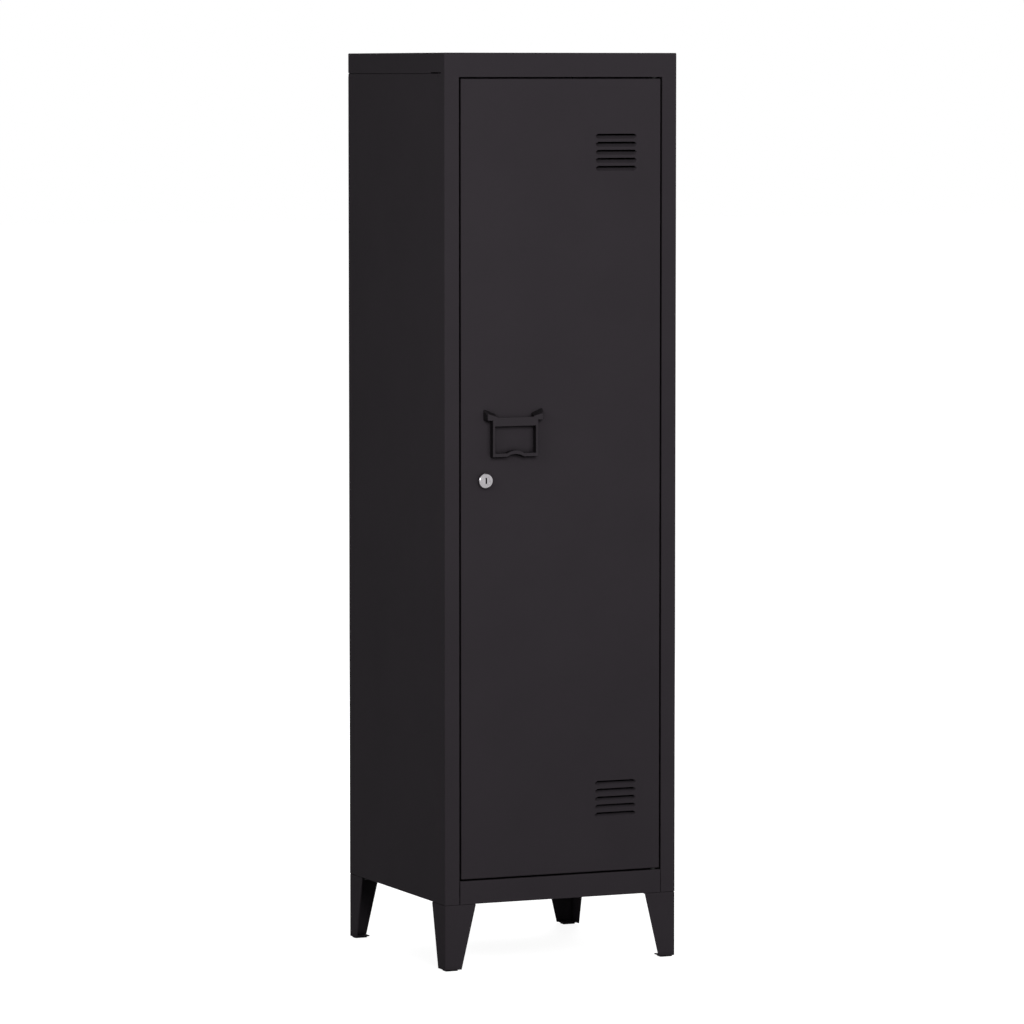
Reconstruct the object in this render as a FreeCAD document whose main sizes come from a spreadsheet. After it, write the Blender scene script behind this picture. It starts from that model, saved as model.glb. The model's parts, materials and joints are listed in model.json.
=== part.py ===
import FreeCAD, Part
import math
import os
import Sketcher

# A tall single-door sheet-steel cabinet on four tapered legs, taken apart into its real pieces.
# Millimetres. +Z is up, the door faces -Y, the origin is on the floor under the middle of the carcass.

# Driving dimensions
SIZES = {
    # Carcass
    "cabinet_width": 380.0,
    "cabinet_depth": 380.0,
    "cabinet_height": 1372.0,
    "leg_height": 100.0,
    "sheet": 0.8,
    "bend_radius": 0.8,
    "fit_gap": 0.2,
    "stile_width": 24.0,
    "stile_depth": 24.0,
    "stop_width": 10.0,
    "top_rail_height": 36.0,
    "bottom_rail_height": 35.0,
    "cap_lip": 31.0,
    "cap_relief_height": 2.0,
    "cap_relief_length": 38.0,
    "cap_relief_from_front": 14.0,
    "rail_end_gap": 0.8,
    "rail_hem": 10.0,
    "joint_flange": 14.0,
    "back_return": 15.0,
    "top_screw_from_front": 133.0,
    "top_screw_from_back": 76.0,
    # Legs
    "leg_sheet": 1.5,
    "leg_top_width": 50.0,
    "leg_foot_width": 27.0,
    "leg_flange": 16.0,
    "foot_depth": 20.0,
    "foot_width": 25.0,
    "foot_pad_height": 2.0,
    "foot_pad_margin": 2.5,
    "foot_pad_stem": 5.0,
    "leg_bolt_distance": 40.0,
    "leg_bolt_row": 8.0,
    # Shelves
    "upright_width": 20.0,
    "upright_depth": 8.0,
    "upright_from_front": 80.0,
    "upright_from_back": 50.0,
    "upright_top_gap": 12.0,
    "slot_pitch": 50.0,
    "slot_height": 12.0,
    "slot_width": 4.0,
    "first_slot": 45.0,
    "clip_sheet": 1.2,
    "clip_width": 14.0,
    "clip_ledge": 12.0,
    "clip_drop": 5.0,
    "clip_rise": 8.0,
    "shelf_depth_gap": 3.0,
    "shelf_side_gap": 0.5,
    "shelf_setback": 35.0,
    "shelf_height": 20.0,
    "shelf_hem": 12.0,
    # Door
    "door_gap": 2.5,
    "door_depth": 18.0,
    "door_return": 12.0,
    "louvre_length": 68.0,
    "louvre_height": 7.6,
    "louvre_slit": 2.8,
    "louvre_depth": 7.0,
    "louvre_taper": 4.4,
    "louvre_pitch": 12.0,
    "louvre_from_hinge_edge": 73.5,
    "upper_louvres_from_top": 110.2,
    "lower_louvres_from_bottom": 110.0,
    "stiffener_crown": 36.0,
    "stiffener_foot": 12.0,
    "stiffener_depth": 14.0,
    "stiffener_offset": 10.0,
    "stiffener_end_gap": 30.0,
    # Hinge
    "pivot_from_edge": 9.0,
    "pivot_from_front": 6.0,
    "pin_diameter": 5.0,
    "pin_tip_bevel": 1.2,
    "pin_head_diameter": 8.0,
    "pin_head_height": 2.0,
    "pin_running_gap": 0.05,
    "bush_diameter": 8.0,
    "bush_flange_diameter": 10.0,
    "bush_flange_height": 1.0,
    "bush_length": 5.0,
    "washer_gap": 0.1,
    "hinge_plate_thickness": 3.0,
    "hinge_plate_length": 20.0,
    "hinge_plate_width": 12.0,
    # Lock
    "lock_from_edge": 38.5,
    "lock_collar_diameter": 22.0,
    "lock_collar_height": 6.2,
    "lock_collar_bevel": 1.0,
    "lock_barrel_diameter": 18.0,
    "lock_barrel_flats": 16.0,
    "plug_diameter": 12.0,
    "plug_recess": 0.5,
    "key_slot_width": 2.4,
    "key_slot_height": 9.2,
    "key_slot_depth": 6.0,
    "lock_nut_flats": 24.0,
    "lock_nut_height": 4.0,
    "thread_gap": 0.1,
    "cam_clearance": 0.6,
    "cam_float": 0.3,
    "cam_thickness": 2.0,
    "cam_width": 16.0,
    "cam_reach": 39.0,
    "cam_corner": 4.0,
    "cam_square": 7.0,
    "cam_screw_diameter": 4.8,
    "cam_screw_head": 10.0,
    "cam_screw_length": 8.0,
    # Card-holder pull
    "pull_from_edge": 84.5,
    "pull_above_lock": 35.5,
    "pull_depth": 10.0,
    "pull_frame_width": 74.0,
    "pull_frame_member": 4.0,
    "pull_frame_sill": 5.0,
    "pull_sill_rise": 4.0,
    "pull_sill_rise_width": 28.0,
    "pull_bar_bottom": 45.4,
    "pull_bar_height": 13.6,
    "pull_bar_thickness": 3.5,
    "pull_ear_inner": 30.0,
    "pull_ear_outer": 45.5,
    "pull_ear_bottom": 54.0,
    "pull_ear_inner_height": 6.5,
    "pull_ear_outer_height": 11.0,
    "pull_ear_spread": 3.0,
    "pull_ear_inner_sweep": 3.5,
    "pull_ear_outer_sweep": 7.0,
    "pull_edge_round": 0.8,
    "pull_tip_round": 2.5,
    "pull_screw_depth": 6.0,
    # Buffers
    "buffer_diameter": 8.0,
    "buffer_gap": 0.3,
    "buffer_bevel": 1.6,
    "buffer_spacing": 900.0,
    # Fasteners
    "bolt_diameter": 6.0,
    "bolt_flats": 10.0,
    "bolt_head_height": 4.0,
    "nut_height": 5.0,
    "bolt_hole_gap": 0.2,
    "screw_diameter": 3.8,
    "screw_head_diameter": 7.6,
    "screw_head_height": 2.4,
    "screw_head_bevel": 1.2,
    "screw_length": 6.0,
}

LOWER_SHELF_SLOT = 5
MIDDLE_SHELF_SLOT = 12
UPPER_SHELF_SLOT = 18
LOUVRES_IN_A_GROUP = 5
BACK_SCREWS_ON_A_SIDE = 3

LEFT = -1
RIGHT = 1
FRONT = -1
BACK = 1
Vector = FreeCAD.Vector

document = FreeCAD.newDocument("storage_cabinet")
sheet_cells = document.addObject("Spreadsheet::Sheet", "dims")
for row, (alias, number) in enumerate(SIZES.items(), start=1):
    sheet_cells.set(f"A{row}", alias)
    sheet_cells.set(f"B{row}", str(number))
    sheet_cells.setAlias(f"B{row}", alias)
document.recompute()


class Size:
    """A length: its number now, and the sheet expression that it stays bound to."""

    def __init__(self, value, text):
        self.value = value
        self.text = text

    def __add__(self, other):
        other = as_size(other)
        return Size(self.value + other.value, f"({self.text} + {other.text})")

    def __sub__(self, other):
        other = as_size(other)
        return Size(self.value - other.value, f"({self.text} - {other.text})")

    def __mul__(self, other):
        other = as_size(other)
        return Size(self.value * other.value, f"({self.text} * {other.text})")

    def __truediv__(self, other):
        other = as_size(other)
        return Size(self.value / other.value, f"({self.text} / {other.text})")

    def __rsub__(self, other):
        return as_size(other) - self

    def __neg__(self):
        return self * -1

    __radd__ = __add__
    __rmul__ = __mul__


def as_size(value):
    if isinstance(value, Size):
        return value
    return Size(float(value), f"({float(value)!r})")


def cell(alias):
    return Size(SIZES[alias], f"dims.{alias}")


# Sizes used by more than one piece
sheet = cell("sheet")
bend = cell("bend_radius")
fit_gap = cell("fit_gap")
half_width = cell("cabinet_width") / 2
half_depth = cell("cabinet_depth") / 2
front = -half_depth
back = half_depth
top = cell("cabinet_height")
body_bottom = cell("leg_height")
opening_top = top - cell("top_rail_height")
opening_bottom = body_bottom + cell("bottom_rail_height")
opening_half = half_width - cell("stile_width")
lip_front = front + cell("stile_depth")
lip_back = lip_front + sheet
seam = top - cell("cap_lip")
joint_flange = cell("joint_flange")
tray_half = half_width - sheet - fit_gap
back_panel_front = back - 2 * sheet
tray_back = back_panel_front - fit_gap
door_half = opening_half - cell("door_gap")
door_bottom = opening_bottom + cell("door_gap")
door_top = opening_top - cell("door_gap")
door_middle = (door_bottom + door_top) / 2
door_back = front + cell("door_depth")
skin_back = front + sheet
pivot_x = door_half - cell("pivot_from_edge")
pivot_y = front + cell("pivot_from_front")
lock_x = cell("lock_from_edge") - door_half
pull_x = cell("pull_from_edge") - door_half
pull_z = door_middle + cell("pull_above_lock")
pull_ear_screw = (cell("pull_ear_inner") + cell("pull_ear_outer")) / 2
pull_screw_z = pull_z + cell("pull_ear_bottom") + cell("pull_ear_inner_height") / 2
cam_front = lip_back + cell("cam_clearance")
web_face = half_width - sheet - cell("upright_depth")
screw_hole = cell("screw_diameter") / 2 + cell("thread_gap")
bolt_hole = cell("bolt_diameter") / 2 + cell("bolt_hole_gap")
overcut = as_size(1.0)


def outward(side, distance_in):
    """A place on the left or right, given as its distance in from the carcass's outer face."""
    return side * (half_width - distance_in)


# Helpers that build features bound to the sheet

def bind(thing, path, size):
    thing.setExpression(path, as_size(size).text)


def place(thing, x=0, y=0, z=0):
    bind(thing, "Placement.Base.x", x)
    bind(thing, "Placement.Base.y", y)
    bind(thing, "Placement.Base.z", z)


def new_body(label):
    body = document.addObject("PartDesign::Body", label)
    body.Label = label
    return body


def origin_plane(body, role):
    return next(item for item in body.Origin.OriginFeatures if item.Role == role)


def sketch_on(body, role, offset=0):
    """A sketch on one of the body's origin planes, moved along that plane's normal."""
    sketch = body.newObject("Sketcher::SketchObject", "sketch")
    sketch.AttachmentSupport = [(origin_plane(body, role), "")]
    sketch.MapMode = "FlatFace"
    bind(sketch, "AttachmentOffset.Base.z", offset)
    return sketch


def pin_point(sketch, element, end, point):
    for kind, size in zip(("DistanceX", "DistanceY"), point):
        number = sketch.addConstraint(Sketcher.Constraint(kind, -1, 1, element, end, size.value))
        bind(sketch, f"Constraints[{number}]", size)


def flat(point):
    return Vector(point[0].value, point[1].value, 0)


def add_line(sketch, start, end):
    element = sketch.addGeometry(Part.LineSegment(flat(start), flat(end)))
    pin_point(sketch, element, 1, start)
    pin_point(sketch, element, 2, end)


def add_arc(sketch, start, end, radius, centre, turns_left):
    first, last = (start, end) if turns_left else (end, start)
    middle = flat(centre)
    angles = [math.atan2(*(flat(point) - middle)[1::-1]) for point in (first, last)]
    whole = Part.Circle(middle, Vector(0, 0, 1), radius.value)
    element = sketch.addGeometry(Part.ArcOfCircle(whole, *angles))
    pin_point(sketch, element, 1, first)
    pin_point(sketch, element, 2, last)
    number = sketch.addConstraint(Sketcher.Constraint("Radius", element, radius.value))
    bind(sketch, f"Constraints[{number}]", radius)


def corner(x, y, rounded=None, bow=None):
    """A corner of an outline, perhaps rounded, with the side to the next corner perhaps bowed left."""
    return {"at": (as_size(x), as_size(y)), "round": rounded, "bow": bow}


def heading(start, end):
    way = flat(end) - flat(start)
    return way.normalize()


def moved(point, way, size):
    return (point[0] + size * way.x, point[1] + size * way.y)


def outline(sketch, corners):
    """Draws a closed outline of straight sides, rounded corners and bowed sides."""
    joints = []
    count = len(corners)
    for index, here in enumerate(corners):
        point = here["at"]
        if here["round"] is None:
            joints.append((point, point))
            continue
        arriving = heading(corners[index - 1]["at"], point)
        leaving = heading(point, corners[(index + 1) % count]["at"])
        turns_left = arriving.cross(leaving).z > 0
        inwards = Vector(-arriving.y, arriving.x, 0) if turns_left else Vector(arriving.y, -arriving.x, 0)
        radius = here["round"]
        reach = radius * math.tan(arriving.getAngle(leaving) / 2)
        entry = moved(point, arriving, -reach)
        departure = moved(point, leaving, reach)
        centre = moved(entry, inwards, radius)
        add_arc(sketch, entry, departure, radius, centre, turns_left)
        joints.append((entry, departure))
    for index, here in enumerate(corners):
        start = joints[index][1]
        end = joints[(index + 1) % count][0]
        if here["bow"] is not None:
            add_bow(sketch, start, end, here["bow"])
        elif (flat(end) - flat(start)).Length > 1e-6:
            add_line(sketch, start, end)


def add_bow(sketch, start, end, rise):
    """An arc over a level chord, rising by the given height."""
    half_chord = (end[0] - start[0]) / 2
    radius = (half_chord * half_chord + rise * rise) / (2 * rise)
    centre = ((start[0] + end[0]) / 2, start[1] + rise - radius)
    add_arc(sketch, start, end, radius, centre, start[0].value > end[0].value)


def rectangle(sketch, x_low, y_low, x_high, y_high, rounded=None):
    spots = ((x_low, y_low), (x_high, y_low), (x_high, y_high), (x_low, y_high))
    outline(sketch, [corner(x, y, rounded) for x, y in spots])


def circle(sketch, x, y, radius):
    centre = (as_size(x), as_size(y))
    element = sketch.addGeometry(Part.Circle(flat(centre), Vector(0, 0, 1), radius.value))
    pin_point(sketch, element, 3, centre)
    number = sketch.addConstraint(Sketcher.Constraint("Radius", element, radius.value))
    bind(sketch, f"Constraints[{number}]", radius)


def folded_strip(sketch, path, thick_side, gauge, inside_radius=None):
    """Outline of a sheet folded along a path of level and plumb runs, sharp where no radius is given.

    thick_side is 1 where the sheet lies to the left of the path and -1 where it lies to the right.
    """
    points = [(as_size(x), as_size(y)) for x, y in path]
    ways = [heading(a, b) for a, b in zip(points, points[1:])]
    normals = [Vector(-way.y, way.x, 0) * thick_side for way in ways]
    near = []
    far = []
    for index, point in enumerate(points):
        before = normals[max(index - 1, 0)]
        after = normals[min(index, len(normals) - 1)]
        if index in (0, len(points) - 1):
            near.append(corner(*point))
            far.append(corner(*moved(point, after, gauge)))
            continue
        near_radius = far_radius = inside_radius
        if inside_radius is not None:
            if ways[index - 1].cross(ways[index]).z * thick_side > 0:
                near_radius = inside_radius + gauge
            else:
                far_radius = inside_radius + gauge
        near.append(corner(*point, near_radius))
        far.append(corner(*moved(moved(point, before, gauge), after, gauge), far_radius))
    outline(sketch, near + far[::-1])


def extrude(body, kind, sketch, length, symmetric=False, backwards=False):
    feature = body.newObject(kind, kind.split("::")[1].lower())
    feature.Profile = sketch
    bind(feature, "Length", length)
    if symmetric:
        feature.SideType = "Symmetric"
    feature.Reversed = backwards
    return feature


def pad(body, sketch, length, **options):
    return extrude(body, "PartDesign::Pad", sketch, length, **options)


def pocket(body, sketch, length, **options):
    return extrude(body, "PartDesign::Pocket", sketch, length, **options)


def revolve(body, sketch):
    feature = body.newObject("PartDesign::Revolution", "revolution")
    feature.Profile = sketch
    feature.ReferenceAxis = (sketch, ["V_Axis"])
    feature.Angle = 360
    return feature


def cut_box(body, low, high):
    """Removes a block between two opposite corners, given in any order."""
    feature = body.newObject("PartDesign::SubtractiveBox", "cut")
    for axis, side, a, b in zip("xyz", ("Length", "Width", "Height"), low, high):
        a, b = sorted((as_size(a), as_size(b)), key=lambda size: size.value)
        bind(feature, f"Placement.Base.{axis}", a)
        bind(feature, side, b - a)
    return feature


def drill(body, role, x, y, radius, offset, depth):
    """Round hole, drilled both ways from a plane at the given offset."""
    sketch = sketch_on(body, role, offset)
    circle(sketch, x, y, radius)
    return pocket(body, sketch, depth, symmetric=True)


def edges_where(shape, wanted):
    return [f"Edge{number}" for number, edge in enumerate(shape.Edges, start=1) if wanted(edge)]


def round_edges(body, wanted, radius):
    document.recompute()
    base = body.Tip
    feature = body.newObject("PartDesign::Fillet", "fillet")
    feature.Base = (base, edges_where(base.Shape, wanted))
    bind(feature, "Radius", radius)
    return feature


def hollow(body, gauge, is_open_face):
    """Turns the block into a sheet-metal pan, open where the given faces were."""
    document.recompute()
    base = body.Tip
    faces = [f"Face{number}" for number, face in enumerate(base.Shape.Faces, start=1) if is_open_face(face)]
    feature = body.newObject("PartDesign::Thickness", "pan")
    feature.Base = (base, faces)
    bind(feature, "Value", gauge)
    feature.Reversed = True
    feature.Join = "Intersection"
    return feature


def is_level(edge, axis, size):
    """True for an edge that lies in the plane where the axis has this value."""
    box = edge.BoundBox
    low = getattr(box, f"{axis}Min")
    high = getattr(box, f"{axis}Max")
    return abs(low - size.value) < 1e-4 and abs(high - size.value) < 1e-4


def runs_along(edge, axis):
    box = edge.BoundBox
    lengths = {"X": box.XLength, "Y": box.YLength, "Z": box.ZLength}
    own = lengths.pop(axis)
    return own > 1e-4 and max(lengths.values()) < 1e-4


def pattern(body, features, axis, pitch, count):
    feature = body.newObject("PartDesign::LinearPattern", "pattern")
    feature.Originals = features
    feature.Direction = (origin_plane(body, axis), [""])
    feature.Mode = "Spacing"
    bind(feature, "Offset", pitch)
    feature.Occurrences = count
    body.Tip = feature
    return feature


def copies(label, template, spots):
    """A group of separate solids: the template repeated at each (x, y, z, turn about Z, tilt about X)."""
    links = []
    for x, y, z, turn, tilt in spots:
        link = document.addObject("App::Link", f"{label}_copy")
        link.LinkedObject = template
        link.Placement.Rotation = FreeCAD.Rotation(turn, 0, tilt)
        place(link, x, y, z)
        links.append(link)
    group = document.addObject("Part::Compound", label)
    group.Label = label
    group.Links = links
    return group


# Carcass

def make_side_panel(label, side):
    """Wall, front stile, door rebate with its stop lip, and back return, folded from one sheet."""
    body = new_body(label)
    fold = sketch_on(body, "XY_Plane", body_bottom)
    path = [
        (outward(side, cell("stile_width") + cell("stop_width")), lip_front),
        (outward(side, cell("stile_width")), lip_front),
        (outward(side, cell("stile_width")), front),
        (outward(side, 0), front),
        (outward(side, 0), back),
        (outward(side, cell("back_return")), back),
    ]
    folded_strip(fold, path, side, sheet, bend)
    pad(body, fold, opening_top - body_bottom)
    # The wall's top edge turns in under the cap
    wall_front = lip_back + fit_gap
    wall_back = tray_back
    turn_in = sketch_on(body, "XZ_Plane", -wall_back)
    top_path = [
        (outward(side, 0), opening_top - overcut),
        (outward(side, 0), seam),
        (outward(side, joint_flange), seam),
    ]
    folded_strip(turn_in, top_path, side, sheet, bend)
    pad(body, turn_in, wall_back - wall_front)
    # The bottom edge turns in over the legs
    ledge = sketch_on(body, "XY_Plane", body_bottom)
    rectangle(ledge, *sorted_pair(
        outward(side, sheet / 2), front + sheet,
        outward(side, joint_flange), back - sheet,
    ))
    pad(body, ledge, sheet)
    # The stop lip ends above the floor of the bottom panel
    cut_box(
        body,
        (outward(side, cell("stile_width") - sheet - overcut), lip_front - bend, body_bottom - overcut),
        (outward(side, cell("stile_width") + cell("stop_width") + overcut), lip_back + overcut, door_bottom),
    )
    for y in leg_bolt_rows():
        drill(body, "XY_Plane", outward(side, cell("leg_bolt_row")), y, bolt_hole, body_bottom, 4 * sheet)
    for y in top_screw_rows():
        drill(body, "XY_Plane", outward(side, joint_flange / 2), y, screw_hole, seam, 4 * sheet)
    for z in back_screw_rows():
        drill(body, "XZ_Plane", outward(side, cell("back_return") / 2), z, screw_hole, -back, 4 * sheet)
    return body


def sorted_pair(x1, y1, x2, y2):
    """The low corner and the high corner of a rectangle."""
    xs = sorted((as_size(x1), as_size(x2)), key=lambda size: size.value)
    ys = sorted((as_size(y1), as_size(y2)), key=lambda size: size.value)
    return xs[0], ys[0], xs[1], ys[1]


def leg_bolt_rows():
    return [end * (half_depth - cell("leg_bolt_distance")) for end in (FRONT, BACK)]


def leg_bolt_columns():
    return [side * (half_width - cell("leg_bolt_distance")) for side in (LEFT, RIGHT)]


def rail_bolt_y(end):
    """Bolts through the bottom panel's own front and back flanges."""
    return end * (half_depth - cell("leg_bolt_row"))


def top_screw_rows():
    return [front + cell("top_screw_from_front"), back - cell("top_screw_from_back")]


def back_screw_rows():
    height = seam - body_bottom
    step = height / (BACK_SCREWS_ON_A_SIDE + 1)
    return [body_bottom + step * number for number in range(1, BACK_SCREWS_ON_A_SIDE + 1)]


def make_back_panel():
    body = new_body("back_panel")
    face = sketch_on(body, "XZ_Plane", -(back - sheet))
    reach = tray_half - bend
    rectangle(face, -reach, body_bottom + sheet + fit_gap, reach, seam - fit_gap)
    pad(body, face, sheet)
    for side in (LEFT, RIGHT):
        for z in back_screw_rows():
            drill(body, "XZ_Plane", outward(side, cell("back_return") / 2), z, screw_hole, -back, 6 * sheet)
    return body


def make_top_panel():
    """Folded cap: its front lip is the top rail, its other lips turn in and sit on the carcass."""
    body = new_body("top_panel")
    plan = sketch_on(body, "XY_Plane", opening_top)
    rectangle(plan, -half_width, front, half_width, back)
    pad(body, plan, cell("top_rail_height"))
    round_edges(body, lambda edge: runs_along(edge, "Z") or is_level(edge, "Z", top), bend + sheet)
    hollow(body, sheet, lambda face: is_level(face, "Z", opening_top))
    lip_end = seam + cell("cap_relief_height")
    cut_box(
        body,
        (-half_width - overcut, lip_front, opening_top - overcut),
        (half_width + overcut, back + overcut, lip_end),
    )
    hem_back = tray_back
    relief_front = front + cell("cap_relief_from_front")
    hem_front = relief_front + cell("cap_relief_length")
    for side in (LEFT, RIGHT):
        cut_box(
            body,
            (outward(side, -overcut), relief_front, seam),
            (outward(side, sheet + bend), lip_front + overcut, lip_end),
        )
        hem = sketch_on(body, "XZ_Plane", -hem_back)
        path = [
            (outward(side, joint_flange), seam),
            (outward(side, 0), seam),
            (outward(side, 0), lip_end + overcut),
        ]
        folded_strip(hem, path, side, sheet, bend)
        pad(body, hem, hem_back - hem_front)
    back_hem = sketch_on(body, "YZ_Plane")
    path = [(back, lip_end + overcut), (back, seam), (back - joint_flange, seam)]
    folded_strip(back_hem, path, -1, sheet, bend)
    pad(body, back_hem, 2 * (half_width - joint_flange - fit_gap), symmetric=True)
    rail = sketch_on(body, "YZ_Plane")
    path = [
        (front + sheet / 2, opening_top),
        (lip_front, opening_top),
        (lip_front, opening_top + cell("rail_hem")),
    ]
    folded_strip(rail, path, 1, sheet, bend)
    pad(body, rail, 2 * half_width - sheet, symmetric=True)
    drill(body, "XY_Plane", pivot_x, pivot_y, cell("bush_diameter") / 2, opening_top, 4 * sheet)
    for side in (LEFT, RIGHT):
        for y in top_screw_rows():
            drill(body, "XY_Plane", outward(side, joint_flange / 2), y, screw_hole, seam, 4 * sheet)
    return body


def make_bottom_panel():
    """Inverted tray: its top is the cabinet's floor and its front lip is the bottom rail."""
    body = new_body("bottom_panel")
    rail_half = opening_half - cell("rail_end_gap")
    shoulder = lip_back + fit_gap
    plan = sketch_on(body, "XY_Plane", body_bottom)
    outline(plan, [
        corner(-rail_half, front),
        corner(rail_half, front),
        corner(rail_half, shoulder),
        corner(tray_half, shoulder),
        corner(tray_half, tray_back),
        corner(-tray_half, tray_back),
        corner(-tray_half, shoulder),
        corner(-rail_half, shoulder),
    ])
    pad(body, plan, cell("bottom_rail_height"))
    round_edges(
        body,
        lambda edge: is_level(edge, "Z", opening_bottom) and is_level(edge, "Y", front),
        bend + sheet,
    )
    hollow(body, sheet, lambda face: is_level(face, "Z", body_bottom))
    ledge_edge = half_width - joint_flange - fit_gap
    for side in (LEFT, RIGHT):
        cut_box(
            body,
            (side * ledge_edge, shoulder - overcut, body_bottom - overcut),
            (side * (half_width + overcut), back, body_bottom + sheet),
        )
        ledge = sketch_on(body, "XY_Plane", body_bottom + sheet)
        rectangle(ledge, *sorted_pair(
            side * (tray_half - sheet / 2), shoulder + sheet / 2,
            side * (tray_half - joint_flange), tray_back - sheet / 2,
        ))
        pad(body, ledge, sheet)
    for y_edge, y_inner, reach in (
        (front + sheet / 2, front + joint_flange, rail_half - sheet / 2),
        (tray_back - sheet / 2, tray_back - joint_flange, ledge_edge),
    ):
        flange = sketch_on(body, "XY_Plane", body_bottom)
        rectangle(flange, *sorted_pair(-reach, y_edge, reach, y_inner))
        pad(body, flange, sheet)
    drill(body, "XY_Plane", pivot_x, pivot_y, cell("bush_diameter") / 2, opening_bottom, 4 * sheet)
    for side in (LEFT, RIGHT):
        for y in leg_bolt_rows():
            drill(body, "XY_Plane", outward(side, cell("leg_bolt_row")), y, bolt_hole, body_bottom, 6 * sheet)
    for x in leg_bolt_columns():
        for end in (FRONT, BACK):
            drill(body, "XY_Plane", x, rail_bolt_y(end), bolt_hole, body_bottom, 6 * sheet)
    return body


# Legs

def make_leg(label, side, end):
    """Tapered angle folded from one sheet, with a bolting flange on top and an in-turned foot."""
    body = new_body(label)
    gauge = cell("leg_sheet")
    foot_z = cell("foot_pad_height")
    wide = cell("leg_top_width")
    narrow = cell("leg_foot_width")
    outer_x = side * half_width
    outer_y = end * half_depth
    inner_x = outer_x - side * wide
    inner_y = outer_y - end * wide
    plan = sketch_on(body, "XY_Plane", foot_z)
    rectangle(plan, *sorted_pair(inner_x, inner_y, outer_x, outer_y))
    pad(body, plan, body_bottom - foot_z)
    meets = {
        "X": lambda shape: is_level(shape, "X", outer_x),
        "Y": lambda shape: is_level(shape, "Y", outer_y),
        "Z": lambda shape: is_level(shape, "Z", body_bottom),
    }
    round_edges(body, lambda edge: sum(test(edge) for test in meets.values()) == 2, bend + gauge)
    hollow(body, gauge, lambda face: (
        is_level(face, "X", inner_x) or is_level(face, "Y", inner_y) or is_level(face, "Z", foot_z)
    ))
    # The bolting flange is cut back to a strip along each face
    strip = cell("leg_flange")
    clearing = sketch_on(body, "XY_Plane", body_bottom)
    outline(clearing, [
        corner(inner_x - side * overcut, outer_y - end * strip),
        corner(outer_x - side * 2 * strip, outer_y - end * strip),
        corner(outer_x - side * strip, outer_y - end * 2 * strip),
        corner(outer_x - side * strip, inner_y - end * overcut),
        corner(inner_x - side * overcut, inner_y - end * overcut),
    ])
    pocket(body, clearing, 4 * gauge, symmetric=True)
    # Each face narrows from the bolting flange to the foot
    shoulder_z = body_bottom - gauge
    for role, edge_line, sign in (("XZ_Plane", outer_x, side), ("YZ_Plane", outer_y, end)):
        taper = sketch_on(body, role)
        outline(taper, [
            corner(edge_line - sign * wide, shoulder_z),
            corner(edge_line - sign * narrow, foot_z),
            corner(edge_line - sign * narrow, foot_z - overcut),
            corner(edge_line - sign * (wide + overcut), foot_z - overcut),
            corner(edge_line - sign * (wide + overcut), shoulder_z),
        ])
        pocket(body, taper, 2 * (half_width + half_depth), symmetric=True)
    foot = sketch_on(body, "XY_Plane", foot_z)
    rectangle(foot, *sorted_pair(
        outer_x - side * gauge / 2, outer_y - end * gauge / 2,
        outer_x - side * cell("foot_width"), outer_y - end * cell("foot_depth"),
    ))
    pad(body, foot, gauge)
    pad_x, pad_y = foot_pad_spot(side, end)
    drill(body, "XY_Plane", pad_x, pad_y, cell("foot_pad_stem") / 2 + fit_gap, foot_z, 4 * gauge)
    bolt_x = outward(side, cell("leg_bolt_row"))
    bolt_y = end * (half_depth - cell("leg_bolt_distance"))
    drill(body, "XY_Plane", bolt_x, bolt_y, bolt_hole, body_bottom, 4 * gauge)
    rail_bolt_x = side * (half_width - cell("leg_bolt_distance"))
    drill(body, "XY_Plane", rail_bolt_x, rail_bolt_y(end), bolt_hole, body_bottom, 4 * gauge)
    return body


def foot_pad_spot(side, end):
    return (
        side * (half_width - cell("foot_width") / 2),
        end * (half_depth - cell("foot_depth") / 2),
    )


def make_foot_pads():
    pad_template = new_body("foot_pad_template")
    margin = cell("foot_pad_margin")
    half_x = cell("foot_width") / 2 - margin
    half_y = cell("foot_depth") / 2 - margin
    sole = sketch_on(pad_template, "XY_Plane")
    rectangle(sole, -half_x, -half_y, half_x, half_y, margin)
    pad(pad_template, sole, cell("foot_pad_height"))
    stem = sketch_on(pad_template, "XY_Plane")
    circle(stem, 0, 0, cell("foot_pad_stem") / 2)
    pad(pad_template, stem, cell("foot_pad_height") + 2 * cell("leg_sheet"))
    spots = [(*foot_pad_spot(side, end), 0, 0, 0) for side in (LEFT, RIGHT) for end in (FRONT, BACK)]
    return copies("foot_pads", pad_template, spots)


# Shelves

def slot_z(number):
    return opening_bottom + cell("first_slot") + cell("slot_pitch") * number


def upright_y(end):
    if end == FRONT:
        return front + cell("upright_from_front")
    return back - cell("upright_from_back")


def make_upright(label, side, end):
    """Slotted channel on the inside of the wall that carries the shelf clips."""
    body = new_body(label)
    middle = upright_y(end)
    half = cell("upright_width") / 2
    fold = sketch_on(body, "XY_Plane", opening_bottom)
    wall = side * (half_width - sheet)
    web = side * web_face
    path = [(wall, middle - half), (web, middle - half), (web, middle + half), (wall, middle + half)]
    folded_strip(fold, path, -side, sheet, bend)
    length = opening_top - opening_bottom - cell("upright_top_gap")
    pad(body, fold, length)
    slot = sketch_on(body, "YZ_Plane", web)
    low = slot_z(0)
    slot_half = cell("slot_width") / 2
    rectangle(slot, middle - slot_half, low, middle + slot_half, low + cell("slot_height"))
    first = pocket(body, slot, 4 * sheet, symmetric=True)
    room = length.value - SIZES["first_slot"] - SIZES["slot_height"]
    pattern(body, [first], "Z_Axis", cell("slot_pitch"), int(room // SIZES["slot_pitch"]) + 1)
    return body


def shelf_half_width():
    return web_face - cell("clip_sheet") - cell("shelf_side_gap")


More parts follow.
